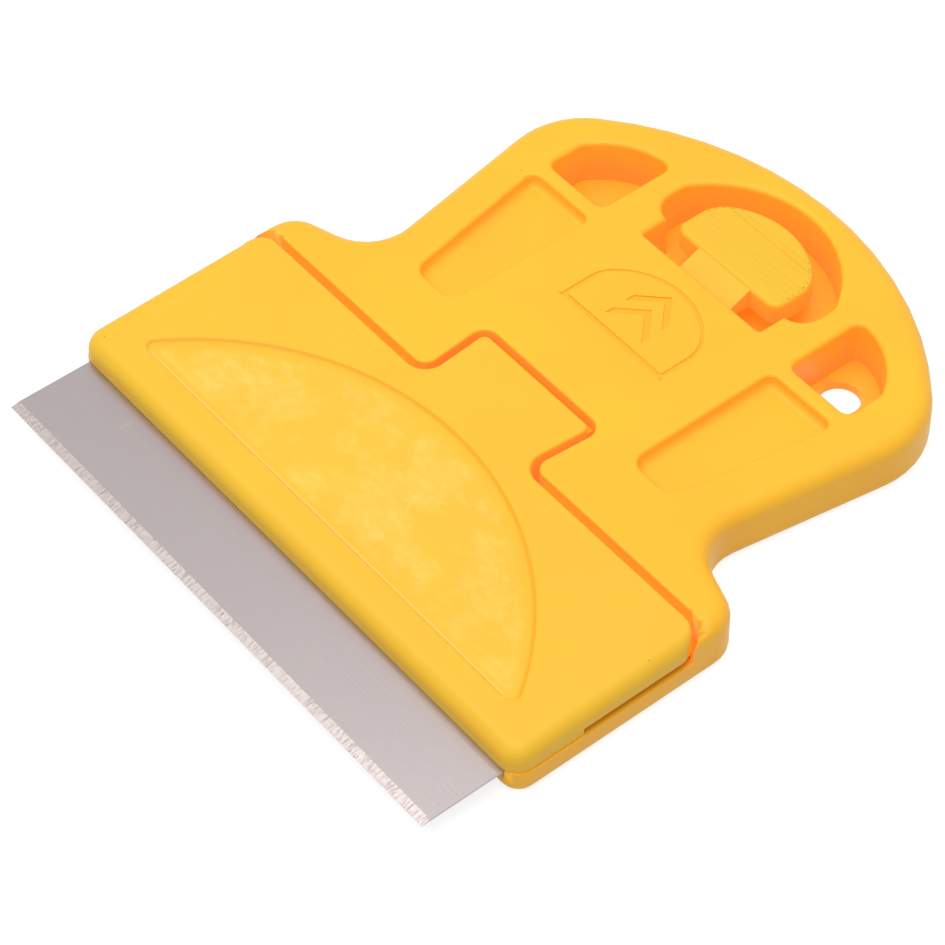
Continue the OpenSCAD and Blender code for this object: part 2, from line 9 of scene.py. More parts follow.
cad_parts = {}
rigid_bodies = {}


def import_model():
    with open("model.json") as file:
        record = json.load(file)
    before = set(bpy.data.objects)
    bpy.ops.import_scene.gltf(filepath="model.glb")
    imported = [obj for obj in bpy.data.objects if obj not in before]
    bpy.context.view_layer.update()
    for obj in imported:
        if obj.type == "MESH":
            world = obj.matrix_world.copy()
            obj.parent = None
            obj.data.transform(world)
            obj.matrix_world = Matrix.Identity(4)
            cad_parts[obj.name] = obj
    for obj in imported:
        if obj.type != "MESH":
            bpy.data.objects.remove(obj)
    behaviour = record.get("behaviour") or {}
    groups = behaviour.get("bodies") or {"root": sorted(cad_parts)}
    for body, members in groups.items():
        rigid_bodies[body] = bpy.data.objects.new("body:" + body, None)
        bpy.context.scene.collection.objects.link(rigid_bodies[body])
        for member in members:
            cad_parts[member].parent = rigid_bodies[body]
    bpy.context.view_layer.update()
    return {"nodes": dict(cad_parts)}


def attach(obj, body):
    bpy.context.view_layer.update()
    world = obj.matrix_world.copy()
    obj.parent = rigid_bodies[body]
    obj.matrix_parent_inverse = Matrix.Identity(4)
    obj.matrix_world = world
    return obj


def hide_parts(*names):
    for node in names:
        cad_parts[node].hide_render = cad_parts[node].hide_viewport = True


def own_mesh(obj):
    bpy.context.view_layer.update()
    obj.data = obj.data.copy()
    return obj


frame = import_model()
bpy.ops.object.select_all(action="DESELECT")

# Sizes, in millimetres, where a row is a distance behind the cutting edge

MM = 0.001
# Where the cutting edge lies on the model's own y
EDGE_ROW = -60.75
HANDLE_TOP = 9.7
# Top of the slit under the clamp, and top of the bottom cover
SLIT_TOP, COVER_TOP = 6.0, 1.6

# First and last row of the finger recesses
RECESS_FRONT, RECESS_REAR = 62.15, 89.9
# First row of the corner pockets, and of the button's window
POCKET_FRONT, WINDOW_FRONT = 92.8, 94.2
# Half width within which the window's rims lie, and the one beyond which the pockets' and recesses' rims do
WINDOW_REACH, SIDES_FROM = 19.6, 19
# How far the ridges between recess and pocket lie under the handle's top
RIDGE_SET = 0.5
# Half width at which the top's narrow front ends are parted off, still on the groove's straight side
TOP_END = 47.5
# Row behind which the top lies clear of those ends
TOP_END_ROW = 60.0
# Half width and row up to which the handle's edge along the groove is rounded
GROOVE_END, GROOVE_END_ROW = 48.6, 63.35
# Width of the flat border laid inside the top's rims, and the radii that the rims are rounded to
LIP_BORDER = 0.95
LIP_R, RECESS_LIP_R, GROOVE_LIP_R = 0.85, 0.6, 0.4
LIP_STEPS = 5

# Half width of the arched mark, its first and last row, and how far under the top it counts
MARK_HALF, MARK_FRONT, MARK_REAR = 11.8, 75.9, 90.7
MARK_REACH = 0.3
# Depths under the top between which the painted shade of the mark's sunk lines comes in
MARK_PAINTED_SHADE_START, MARK_PAINTED_SHADE_FULL = 0.02, 0.06

# The clamp's rear row, its length, and how far its top falls over that length
CLAMP_REAR, CLAMP_LENGTH, CLAMP_FALL = 49.0, 34.6, 1.0
# The scoop's straight front row, the row of its deepest reach back, its half width and its depth
SCOOP_FRONT, SCOOP_REAR, SCOOP_HALF = 20.4, 45.8, 45.4
SCOOP_DEPTH = 0.5
SCOOP_RISE = SCOOP_REAR - SCOOP_FRONT
SCOOP_RADIUS = (SCOOP_HALF ** 2 + SCOOP_RISE ** 2) / (2 * SCOOP_RISE)
SCOOP_CENTRE = SCOOP_REAR - SCOOP_RADIUS
# Height from which distances to the scoop's arc are measured, and how far under the top the scoop counts
SCOOP_LEVEL, SCOOP_REACH = 8.7, 0.7
# Width of the slope that the scoop's wall becomes, and the radius of that slope's edges
SCOOP_SLOPE, SCOOP_RIM_R = 0.45, 0.2
SCOOP_RIM_STEPS = 3

# Half width of the button pad, its first and last row, and how far under the top its grip lines count
PAD_HALF, PAD_FRONT, PAD_REAR = 11.7, 99.2, 112.6
GRIP_REACH = 0.45
# Height of the pad's rounded rim, the size of the tiny faces in it, and the distance over which they join
PAD_RIM, CRUMB_SIZE, CRUMB_JOIN = 1.2, 0.45, 0.12
# How far behind the window's front edge the lever's slope gets a row of points
LEVER_SHADE = 1.6

# Width of the ground band along the cutting edge, and half the width over which it comes in
GROUND_BAND, GROUND_BLUR = 1.5, 0.05
# Height of the burr on that band against the lines that rolling left
BURR_HEIGHT = 4
# Radius of the breaks on the blade's other edges, and the row from which they are made
BLADE_BREAK_R, BLADE_BREAK_ROW = 0.04, 1
BLADE_BREAK_STEPS = 2

# How far from a named place a point still counts as level with it, beside it, or on its rim
LEVEL, BESIDE, RIM = 0.03, 0.1, 0.6
# Least height of the normal of a face that looks straight up, and of one that slopes
UPWARD, SLOPING = 0.999, 0.5
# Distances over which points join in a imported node, once the ridges are raised, and once the scoop is sloped
PACKED_JOIN, RAISED_JOIN, SLOPED_JOIN = 0.002, 0.004, 0.03
# Faces whose corner angle is less than this, in degrees, are one face
FLAT_ANGLE = 0.1


def srgb(red, green, blue):
    """A colour written as screen values from 0 to 255, as the shader wants it."""
    def linear(value):
        share = value / 255
        return share / 12.92 if share <= 0.04045 else ((share + 0.055) / 1.055) ** 2.4
    return (linear(red), linear(green), linear(blue), 1.0)


# Colours

BLACK = (0, 0, 0, 1)
WHITE = (1, 1, 1, 1)
# The plastics where they lie open, and the orange painted in as shade and bounced light where their own walls
# close them in
HANDLE_LIT, HANDLE_PAINTED_SHADE = srgb(252, 189, 42), srgb(255, 134, 50)
CLAMP_LIT, CLAMP_PAINTED_SHADE = srgb(236, 188, 46), srgb(255, 150, 50)
# Painted glow that stands in for light coming through the plastic, at its lips and between its walls
PAINTED_GLOW_LIPS = (0.45, 0.21, 0.01, 1)
PAINTED_GLOW_WALLS = (0.5, 0.12, 0.016, 1)
# Painted shade in the sunk lines of the arched mark
MARK_PAINTED_SHADE = srgb(243, 172, 34)
PLASTIC_SPECK = srgb(150, 105, 40)
# Painted shade along the scoop's rim
SCOOP_RIM_SHADE = srgb(240, 174, 32)
# Painted sheen and a painted highlight line on the scoop
SCOOP_SHEEN = srgb(250, 206, 96)
BLADE_FLAT, BLADE_CLOUD = srgb(170, 161, 160), srgb(170, 160, 160)
BLADE_GROUND, BLADE_BURR = srgb(172, 162, 160), srgb(140, 128, 126)
BLADE_PIT = srgb(120, 108, 104)
DRAWN_STEEL = srgb(190, 188, 186)


# Studio

CAMERA_AZIMUTH = math.radians(50.56)
CAMERA_HEIGHT = math.radians(47.54)
CAMERA_DISTANCE = 543.58 * MM
CAMERA_TARGET = Vector((0, -0.75, 9.5)) * MM
CAMERA_LENS = 138.19
CAMERA_SHIFT = (-0.05907, -0.09166)
CAMERA_CLIP = (0.01, 10)

# The lamp's and the floor's places and sizes, in metres
LAMP_PLACE = (-0.05, -0.2, 1.15)
LAMP_SIZE = 1.3
LAMP_POWER = 11.6
SKY_STRENGTH = 0.55

# White paper as the lamps see it, as the camera sees it, and the glow that the camera sees on it
PAPER = (0.6, 0.6, 0.6, 1)
PAPER_SEEN = (0.35, 0.35, 0.35, 1)
PAPER_GLOW = 0.78
FLOOR_SIZE = 4
# Distance to the flat underside, so that the two never share a plane
FLOOR_GAP = 0.05 * MM


def add_camera():
    data = bpy.data.cameras.new("camera")
    data.lens = CAMERA_LENS
    data.shift_x, data.shift_y = CAMERA_SHIFT
    data.clip_start, data.clip_end = CAMERA_CLIP
    camera = bpy.data.objects.new("camera", data)
    bpy.context.scene.collection.objects.link(camera)
    back = Vector((
        math.sin(CAMERA_AZIMUTH) * math.cos(CAMERA_HEIGHT),
        -math.cos(CAMERA_AZIMUTH) * math.cos(CAMERA_HEIGHT),
        math.sin(CAMERA_HEIGHT)))
    camera.location = CAMERA_TARGET + back * CAMERA_DISTANCE
    camera.rotation_mode = "QUATERNION"
    camera.rotation_quaternion = (-back).to_track_quat("-Z", "Y")
    bpy.context.scene.camera = camera
    bpy.context.scene.view_settings.view_transform = "Standard"


def add_lamp(name, place, size, power):
    """A square soft box that faces the middle of the scraper."""
    data = bpy.data.lights.new(name, "AREA")
    data.shape = "SQUARE"
    data.size = size
    data.energy = power
    lamp = bpy.data.objects.new(name, data)
    bpy.context.scene.collection.objects.link(lamp)
    lamp.location = Vector(place)
    lamp.rotation_mode = "QUATERNION"
    lamp.rotation_quaternion = (-lamp.location).to_track_quat("-Z", "Y")


def seen_directly(tree):
    """1 for rays from the camera, and for those that metal or glass sends on."""
    path = tree.nodes.new("ShaderNodeLightPath")
    mirrored = arithmetic(tree, "MAXIMUM", path.outputs["Is Glossy Ray"], path.outputs["Is Transmission Ray"])
    return arithmetic(tree, "MAXIMUM", path.outputs["Is Camera Ray"], mirrored)


def add_world():
    """An even sky that lights softly and looks white."""
    world = bpy.data.worlds.new("studio")
    world.use_nodes = True
    bpy.context.scene.world = world
    nodes, links = world.node_tree.nodes, world.node_tree.links
    nodes.clear()
    sky = nodes.new("ShaderNodeBackground")
    sky.inputs["Color"].default_value = WHITE
    sky.inputs["Strength"].default_value = SKY_STRENGTH
    seen = nodes.new("ShaderNodeBackground")
    seen.inputs["Color"].default_value = WHITE
    mix = nodes.new("ShaderNodeMixShader")
    out = nodes.new("ShaderNodeOutputWorld")
    links.new(seen_directly(world.node_tree), mix.inputs["Fac"])
    links.new(sky.outputs[0], mix.inputs[1])
    links.new(seen.outputs[0], mix.inputs[2])
    links.new(mix.outputs[0], out.inputs["Surface"])


def floor_material():
    """White paper, which the camera sees a little brighter than the lamps make it."""
    material = bpy.data.materials.new("white_paper")
    material.use_nodes = True
    nodes, links = material.node_tree.nodes, material.node_tree.links
    nodes.clear()
    paper = nodes.new("ShaderNodeBsdfDiffuse")
    paper.inputs["Color"].default_value = PAPER
    dim = nodes.new("ShaderNodeBsdfDiffuse")
    dim.inputs["Color"].default_value = PAPER_SEEN
    glow = nodes.new("ShaderNodeEmission")
    glow.inputs["Strength"].default_value = PAPER_GLOW
    both = nodes.new("ShaderNodeAddShader")
    mix = nodes.new("ShaderNodeMixShader")
    out = nodes.new("ShaderNodeOutputMaterial")
    links.new(dim.outputs[0], both.inputs[0])
    links.new(glow.outputs[0], both.inputs[1])
    links.new(seen_directly(material.node_tree), mix.inputs["Fac"])
    links.new(paper.outputs[0], mix.inputs[1])
    links.new(both.outputs[0], mix.inputs[2])
    links.new(mix.outputs[0], out.inputs["Surface"])
    return material


def add_floor():
    bpy.ops.mesh.primitive_plane_add(size=FLOOR_SIZE, location=(0, 0, -FLOOR_GAP))
    floor = bpy.context.object
    floor.name = "floor"
    floor.data.materials.append(floor_material())
    bpy.ops.object.select_all(action="DESELECT")


# Shader parts

def shader_group(name, inputs, outputs):
    """An empty node group with its sockets, and the two nodes that hold them."""
    group = bpy.data.node_groups.new(name, "ShaderNodeTree")
    for label, value in inputs.items():
        socket = group.interface.new_socket(label, in_out="INPUT", socket_type="NodeSocketFloat")
        socket.default_value = value
    for label in outputs:
        group.interface.new_socket(label, in_out="OUTPUT", socket_type="NodeSocketFloat")
    return group, group.nodes.new("NodeGroupInput"), group.nodes.new("NodeGroupOutput")


def own_place(group):
    """The piece's own coordinates, in metres."""
    return group.nodes.new("ShaderNodeTexCoord").outputs["Object"]


def split_place(group):
    """The piece's own coordinates, one by one."""
    split = group.nodes.new("ShaderNodeSeparateXYZ")
    group.links.new(own_place(group), split.inputs["Vector"])
    return split.outputs


def stretched_place(group, stretch=(1, 1, 1)):
    """The piece's own coordinates in millimetres, times a stretch along each axis."""
    mapping = group.nodes.new("ShaderNodeMapping")
    mapping.inputs["Scale"].default_value = [share / MM for share in stretch]
    group.links.new(own_place(group), mapping.inputs["Vector"])
    return mapping.outputs["Vector"]


def noise(group, scale, detail=2.0, roughness=0.5, stretch=(1, 1, 1)):
    """Noise on the piece's own coordinates, with a scale counted in lumps per millimetre."""
    texture = group.nodes.new("ShaderNodeTexNoise")
    texture.inputs["Scale"].default_value = scale
    texture.inputs["Detail"].default_value = detail
    texture.inputs["Roughness"].default_value = roughness
    group.links.new(stretched_place(group, stretch), texture.inputs["Vector"])
    return texture.outputs["Fac"]


def between(group, value, over, onto=(0.0, 1.0)):
    """Stretches the part of a value that runs over one range onto another, with soft ends."""
    ramp = group.nodes.new("ShaderNodeMapRange")
    ramp.interpolation_type = "SMOOTHSTEP"
    ramp.inputs["From Min"].default_value, ramp.inputs["From Max"].default_value = over
    ramp.inputs["To Min"].default_value, ramp.inputs["To Max"].default_value = onto
    group.links.new(value, ramp.inputs["Value"])
    return ramp.outputs["Result"]


def arithmetic(group, operation, first, second=0.0):
    """One sum or product of two values, each of them a socket or a number."""
    node = group.nodes.new("ShaderNodeMath")
    node.operation = operation
    for index, value in enumerate((first, second)):
        if isinstance(value, (int, float)):
            node.inputs[index].default_value = value
        else:
            group.links.new(value, node.inputs[index])
    return node.outputs[0]


def product(group, first, *others):
    for other in others:
        first = arithmetic(group, "MULTIPLY", first, other)
    return first


def mixed_colour(group, share, first, second):
    """A colour between two others, each of them a socket or a colour."""
    node = group.nodes.new("ShaderNodeMix")
    node.data_type = "RGBA"
    group.links.new(share, node.inputs["Factor"])
    for socket, colour in ((node.inputs[6], first), (node.inputs[7], second)):
        if isinstance(colour, tuple):
            socket.default_value = colour
        else:
            group.links.new(colour, socket)
    return node.outputs[2]


def placed_group(tree, group, **values):
    """A group's node in a material's tree, with that material's own values."""
    node = tree.nodes.new("ShaderNodeGroup")
    node.node_tree = group
    for label, value in values.items():
        node.inputs[label].default_value = value
    return node


def bump(tree, height, shader, depth):
    """Leads a height, whose full range is depth millimetres, into the shader's normal."""
    node = tree.nodes.new("ShaderNodeBump")
    node.inputs["Strength"].default_value = 1
    node.inputs["Distance"].default_value = depth * MM
    tree.links.new(height, node.inputs["Height"])
    tree.links.new(node.outputs["Normal"], shader.inputs["Normal"])


def new_material(name):
    """A material with its tree and its Principled shader."""
    material = bpy.data.materials.new(name)
    material.use_nodes = True
    return material, material.node_tree, material.node_tree.nodes["Principled BSDF"]


# Marks that several materials share

def moulded_skin_group():
    """Fine peel and slow waves of a moulded plastic skin, as a height."""
    group, given, result = shader_group("moulded_skin", {"Peel": 1.0, "Waves": 1.0}, ["Height"])
    peel = product(group, noise(group, scale=2.4, detail=3, roughness=0.6), given.outputs["Peel"])
    waves = product(group, noise(group, scale=0.16, detail=1), given.outputs["Waves"])
    group.links.new(arithmetic(group, "ADD", peel, waves), result.inputs["Height"])
    return group


def scuff_group():
    """Thin scratches in two directions, as a mask."""
    group, given, result = shader_group("scuffs", {"Amount": 0.5}, ["Mask"])
    long_lines = noise(group, scale=1.3, detail=2, roughness=0.55, stretch=(0.05, 1, 1))
    cross_lines = noise(group, scale=1.1, detail=2, roughness=0.55, stretch=(1, 0.07, 1))
    along = between(group, long_lines, over=(0.66, 0.74))
    across = between(group, cross_lines, over=(0.68, 0.76))
    patches = between(group, noise(group, scale=0.07, detail=1), over=(0.42, 0.62))
    both = arithmetic(group, "MAXIMUM", along, across)
    group.links.new(product(group, both, patches, given.outputs["Amount"]), result.inputs["Mask"])
    return group


def speck_group():
    """Scattered tiny specks of dirt, as a mask."""
    group, given, result = shader_group("specks", {"Size": 0.1}, ["Mask"])
    cells = group.nodes.new("ShaderNodeTexVoronoi")
    cells.inputs["Scale"].default_value = 0.16
    group.links.new(stretched_place(group), cells.inputs["Vector"])
    near = arithmetic(group, "LESS_THAN", cells.outputs["Distance"], given.outputs["Size"])
    rare = between(group, noise(group, scale=0.9, detail=0), over=(0.5, 0.56))
    group.links.new(product(group, near, rare), result.inputs["Mask"])
    return group


# Ripples of the scoop, with its painted sheen, painted highlight and painted shade, each with the place where
# it fades out and the one where it is full

# Distances outward from the scoop's arc, for the ripples and for the painted shade along its rim
RIPPLES_IN_ARC = (-1, -3)
RIM_SHADE_INNER, RIM_SHADE_OUTER = (-0.9, -0.4), (0.25, -0.1)
# Distances behind the scoop's straight front, for the ripples and for the painted highlight line along that
# front
RIPPLES_BEHIND = (0.8, 2)
CHORD_HIGHLIGHT_FRONT, CHORD_HIGHLIGHT_REAR = (-0.05, 0.1), (0.8, 0.5)
# Distances from the long axis, towards the scoop's right end, over which the ripples grow
RIPPLES_GROW = (5, 38)
# Height of the ripples against the plastic's own skin
RIPPLE_HEIGHT = 1.6


def scoop_ripples_and_painted_light_group():
    """Ripples, painted sheen in pale patches, a painted highlight line along the front and painted shade along
    the rim of the clamp's scoop.
    """
    group, _, result = shader_group("scoop_ripples_and_painted_light", {}, ["Height", "Sheen", "RimShade"])
    away = group.nodes.new("ShaderNodeVectorMath")
    away.operation = "DISTANCE"
    away.inputs[1].default_value = (0, (EDGE_ROW + SCOOP_CENTRE) * MM, SCOOP_LEVEL * MM)
    group.links.new(own_place(group), away.inputs[0])
    place = split_place(group)

    def from_arc(distances):
        return between(group, away.outputs["Value"], over=[(SCOOP_RADIUS + d) * MM for d in distances])

    def from_front(distances):
        return between(group, place["Y"], over=[(EDGE_ROW + SCOOP_FRONT + d) * MM for d in distances])

    within_arc = from_arc(RIPPLES_IN_ARC)
    behind_front = from_front(RIPPLES_BEHIND)
    field = product(group, within_arc, behind_front)
    towards_end = between(group, place["X"], over=[d * MM for d in RIPPLES_GROW], onto=(0.1, 1))
    fine = noise(group, scale=0.9, detail=2, roughness=0.6, stretch=(0.35, 1, 1))
    group.links.new(product(group, fine, RIPPLE_HEIGHT, towards_end, field), result.inputs["Height"])
    # Painted sheen in pale patches and streaks
    cloudy = noise(group, scale=0.11, detail=4, roughness=0.65)
    streaky = noise(group, scale=0.8, detail=3, roughness=0.6, stretch=(0.5, 1, 1))
    patches = between(group, cloudy, over=(0.42, 0.62), onto=(0.15, 0.75))
    streaks = between(group, streaky, over=(0.4, 0.7), onto=(0.5, 1))
    sheen = product(group, patches, streaks, field)
    # Painted highlight along the scoop's straight front
    chord = product(group, from_front(CHORD_HIGHLIGHT_FRONT), from_front(CHORD_HIGHLIGHT_REAR), within_arc)
    group.links.new(arithmetic(group, "MAXIMUM", sheen, chord), result.inputs["Sheen"])
    # Painted shade along the scoop's arc
    rim = product(group, from_arc(RIM_SHADE_INNER), from_arc(RIM_SHADE_OUTER), behind_front)
    group.links.new(rim, result.inputs["RimShade"])
    return group


# Materials

def mark_painted_shade_field(tree):
    """How much shade is painted on a place in the sunk lines of the arched mark, just under the handle's top.
    """
    place = split_place(tree)
    depths = [(HANDLE_TOP - depth) * MM for depth in (MARK_PAINTED_SHADE_START, MARK_PAINTED_SHADE_FULL)]
    sunk = between(tree, place["Z"], over=depths, onto=(0, 0.6))
    middle_row = (EDGE_ROW + (MARK_FRONT + MARK_REAR) / 2) * MM
    along = arithmetic(tree, "ABSOLUTE", arithmetic(tree, "SUBTRACT", place["Y"], middle_row))
    near = arithmetic(tree, "LESS_THAN", along, (MARK_REAR - MARK_FRONT) / 2 * MM)
    aside = arithmetic(tree, "LESS_THAN", arithmetic(tree, "ABSOLUTE", place["X"]), MARK_HALF * MM)
    above = arithmetic(tree, "GREATER_THAN", place["Z"], (HANDLE_TOP - MARK_REACH) * MM)
    return product(tree, sunk, near, aside, above)


def moulded_plastic(name, lit, painted_shade, peel, waves, ripples_and_painted_light=None):
    """Satin plastic with painted shade and glow: orange painted where its own walls close it in, and a painted
    glow where some light comes through them.
    An optional scoop group adds the ripple heights left by the mould, with painted sheen, a painted highlight
    line and painted shade along a rim, where there are any."""
    material, tree, shader = new_material(name)
    shader.inputs["Specular IOR Level"].default_value = 0.3
    # Painted shade and bounced light: the more a place's own walls close it in, the more of the deep orange it
    # takes
    openness = tree.nodes.new("ShaderNodeAttribute")
    openness.attribute_name = "openness"
    closed = between(tree, openness.outputs["Fac"], over=(0.82, 0.2))
    mottle = between(tree, noise(tree, scale=0.05, detail=2), over=(0.3, 0.7), onto=(0.0, 0.1))
    body = mixed_colour(tree, arithmetic(tree, "ADD", closed, mottle), lit, painted_shade)
    # Painted glow, emitted where the walls close a place in
    half_closed = between(tree, openness.outputs["Fac"], over=(0.8, 0.3))
    tone = mixed_colour(tree, closed, PAINTED_GLOW_LIPS, PAINTED_GLOW_WALLS)
    through = mixed_colour(tree, half_closed, BLACK, tone)
    shader.inputs["Emission Strength"].default_value = 1
    tree.links.new(through, shader.inputs["Emission Color"])
    # Painted shade in the mark's sunk lines
    marked = mixed_colour(tree, mark_painted_shade_field(tree), body, MARK_PAINTED_SHADE)
    specks = placed_group(tree, speck_marks, Size=0.02)
    colour = mixed_colour(tree, specks.outputs["Mask"], marked, PLASTIC_SPECK)
    height = placed_group(tree, moulded_skin, Peel=peel, Waves=waves).outputs["Height"]
    if ripples_and_painted_light:
        marks = placed_group(tree, ripples_and_painted_light)
        height = arithmetic(tree, "ADD", height, marks.outputs["Height"])
        # Painted shade along the scoop's rim, and painted sheen and highlight over it
        rim_shaded = mixed_colour(tree, marks.outputs["RimShade"], colour, SCOOP_RIM_SHADE)
        colour = mixed_colour(tree, marks.outputs["Sheen"], rim_shaded, SCOOP_SHEEN)
    tree.links.new(colour, shader.inputs["Base Color"])
    scuffs = placed_group(tree, scuff_marks, Amount=0.6)
    satin = between(tree, scuffs.outputs["Mask"], over=(0, 1), onto=(0.4, 0.62))
    tree.links.new(satin, shader.inputs["Roughness"])
    bump(tree, height, shader, depth=0.1)
    return material


def ground_steel(name):
    """Rolled steel whose cutting edge is ground to a brighter band with a broken burr."""
    material, tree, shader = new_material(name)
    shader.inputs["Metallic"].default_value = 1
    inner = EDGE_ROW + GROUND_BAND
    edges = ((inner + GROUND_BLUR) * MM, (inner - GROUND_BLUR) * MM)
    band = between(tree, split_place(tree)["Y"], over=edges)
    across = noise(tree, scale=2.6, detail=3, roughness=0.7, stretch=(1, 0.12, 1))
    burr = product(tree, band, between(tree, across, over=(0.4, 0.72)))
    along = noise(tree, scale=3.0, detail=3, roughness=0.7, stretch=(0.04, 1, 1))
    lines = between(tree, along, over=(0.35, 0.7))
    clouds = between(tree, noise(tree, scale=0.06, detail=4, roughness=0.6), over=(0.3, 0.7))
    flat = mixed_colour(tree, clouds, BLADE_FLAT, BLADE_CLOUD)
    ground = mixed_colour(tree, burr, BLADE_GROUND, BLADE_BURR)
    colour = mixed_colour(tree, band, flat, ground)
    pits = placed_group(tree, speck_marks, Size=0.035)
    pitted = mixed_colour(tree, pits.outputs["Mask"], colour, BLADE_PIT)
    tree.links.new(pitted, shader.inputs["Base Color"])
    scuffs = placed_group(tree, scuff_marks, Amount=1.0)
    rolled = between(tree, lines, over=(0, 1), onto=(0.3, 0.42))
    rough = arithmetic(tree, "ADD", rolled, scuffs.outputs["Mask"])
    tree.links.new(between(tree, rough, over=(0.3, 1.4), onto=(0.3, 0.6)), shader.inputs["Roughness"])
    bump(tree, arithmetic(tree, "ADD", lines, product(tree, burr, BURR_HEIGHT)), shader, depth=0.004)
    return material


def drawn_steel(name):
    """Plain drawn wire and pin stock with faint lengthwise lines."""
    material, tree, shader = new_material(name)
    shader.inputs["Base Color"].default_value = DRAWN_STEEL
    shader.inputs["Metallic"].default_value = 1
    lines = noise(tree, scale=2.2, detail=3, roughness=0.6, stretch=(0.1, 1, 1))
    tree.links.new(between(tree, lines, over=(0.3, 0.7), onto=(0.3, 0.45)), shader.inputs["Roughness"])
    bump(tree, lines, shader, depth=0.01)
    return material


# Modelling

def edit(piece):
    """Opens a piece for editing with nothing on it selected."""
    if bpy.context.mode != "OBJECT":
        bpy.ops.object.mode_set(mode="OBJECT")
    bpy.ops.object.select_all(action="DESELECT")
    piece.select_set(True)
    bpy.context.view_layer.objects.active = piece
    bpy.ops.object.mode_set(mode="EDIT")
    bpy.ops.mesh.select_mode(type="EDGE")
    bpy.ops.mesh.select_all(action="DESELECT")


def leave():
    """Closes the piece that is open for editing, and selects nothing."""
    bpy.ops.object.mode_set(mode="OBJECT")
    bpy.ops.object.select_all(action="DESELECT")


def join_points(piece, distance):
    """Joins points within a distance of each other, and makes flat faces whole."""
    edit(piece)
    bpy.ops.mesh.select_all(action="SELECT")
    bpy.ops.mesh.remove_doubles(threshold=distance * MM)
    bpy.ops.mesh.dissolve_limited(angle_limit=math.radians(FLAT_ANGLE))
    leave()


def merged_copy(node, name):
    """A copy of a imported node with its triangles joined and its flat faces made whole."""
    piece = bpy.data.objects.new(name, frame["nodes"][node].data.copy())
    bpy.context.scene.collection.objects.link(piece)
    piece.data.name = name
    join_points(piece, PACKED_JOIN)
    return piece


def place_of(point):
    """A point's x, row behind the cutting edge, and height, in millimetres."""
    return point.x / MM, point.y / MM - EDGE_ROW, point.z / MM


def soften(piece, chosen, radius, steps, sharpness=35):
    """Rounds the sharp edges whose two ends both pass a test on their place."""
    edit(piece)
    bpy.ops.mesh.edges_select_sharp(sharpness=math.radians(sharpness))
    bpy.ops.object.mode_set(mode="OBJECT")
    mesh = piece.data
    picked = [
        edge.index for edge in mesh.edges
        if edge.select and all(chosen(*place_of(mesh.vertices[end].co)) for end in edge.vertices)]
    edit(piece)
    bpy.ops.object.mode_set(mode="OBJECT")
    for index in picked:
        mesh.edges[index].select = True
    bpy.ops.object.mode_set(mode="EDIT")
    bpy.ops.mesh.bevel(
        offset=radius * MM, offset_type="OFFSET", segments=steps, profile=0.5, affect="EDGES",
        clamp_overlap=False)
    leave()


def pick_faces(piece, chosen):
    """Opens the piece with the faces selected whose normal and corners pass a test."""
    edit(piece)
    bpy.ops.mesh.select_mode(type="FACE")
    bpy.ops.object.mode_set(mode="OBJECT")
    for face in piece.data.polygons:
        corners = [place_of(piece.data.vertices[index].co) for index in face.vertices]
        face.select = chosen(face.normal, corners)
    bpy.ops.object.mode_set(mode="EDIT")


def inset_picked(width):
    """Lays a border of even width just inside the rims of the picked faces."""
    bpy.ops.mesh.inset(thickness=width * MM, depth=0, use_boundary=True, use_even_offset=True)


def smooth(piece, angle=40):
    """Smooth shading up to a corner angle, with the broad faces kept flat."""
    piece.select_set(True)
    bpy.context.view_layer.objects.active = piece
    bpy.ops.object.shade_smooth_by_angle(angle=math.radians(angle))
    bpy.ops.object.modifier_add(type="WEIGHTED_NORMAL")
    piece.modifiers[-1].weight = 100
    piece.modifiers[-1].keep_sharp = True
    bpy.ops.object.modifier_apply(modifier=piece.modifiers[-1].name)
    bpy.ops.object.select_all(action="DESELECT")


def dress(piece, material, body, node):
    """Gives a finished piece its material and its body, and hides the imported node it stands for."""
    piece.data.materials.clear()
    piece.data.materials.append(material)
    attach(piece, body)
    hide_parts(node)
    return piece


# Places on the scraper

def inside(x, row, half, front, rear, margin=0.0):
    """Whether a place lies in a field across the scraper's long axis, widened by a margin."""
    return abs(x) < half + margin and front - margin < row < rear + margin


def on_top(z):
    return z > HANDLE_TOP - LEVEL


def clamp_top(row):
    """Height of the clamp's sloping top at a row."""
    return HANDLE_TOP - (CLAMP_REAR - row) * CLAMP_FALL / CLAMP_LENGTH


def whole_top(normal, corners):
    return normal.z > UPWARD and all(on_top(z) for x, row, z in corners)


def top_skin(normal, corners):
    """The flat top around the window, recesses and pockets, without the mark's own field."""
    in_mark = all(inside(x, row, MARK_HALF, MARK_FRONT, MARK_REAR) for x, row, z in corners)
    front_end = all(abs(x) > TOP_END - BESIDE and row < TOP_END_ROW for x, row, z in corners)
    return whole_top(normal, corners) and not in_mark and not front_end


def ridge_skin(normal, corners):
    """The low ridges between each recess and the pocket behind it."""
    return normal.z > UPWARD and all(
        abs(z - HANDLE_TOP + RIDGE_SET) < LEVEL and RECESS_REAR - RIM < row < POCKET_FRONT + RIM
        for x, row, z in corners)


def open_lip(x, row, z):
    """The rims of the window and the two pockets."""
    window = row > WINDOW_FRONT - RIM and abs(x) < WINDOW_REACH
    pocket = row > POCKET_FRONT - RIM and abs(x) > SIDES_FROM
    return on_top(z) and (window or pocket)


def recess_lip(x, row, z):
    return on_top(z) and RECESS_FRONT - RIM < row < RECESS_REAR + RIM and abs(x) > SIDES_FROM


def groove_lip(x, row, z):
    """The handle's edge along the groove, up to where it turns at the clamp's corners."""
    return on_top(z) and abs(x) < GROOVE_END and CLAMP_REAR < row < GROOVE_END_ROW


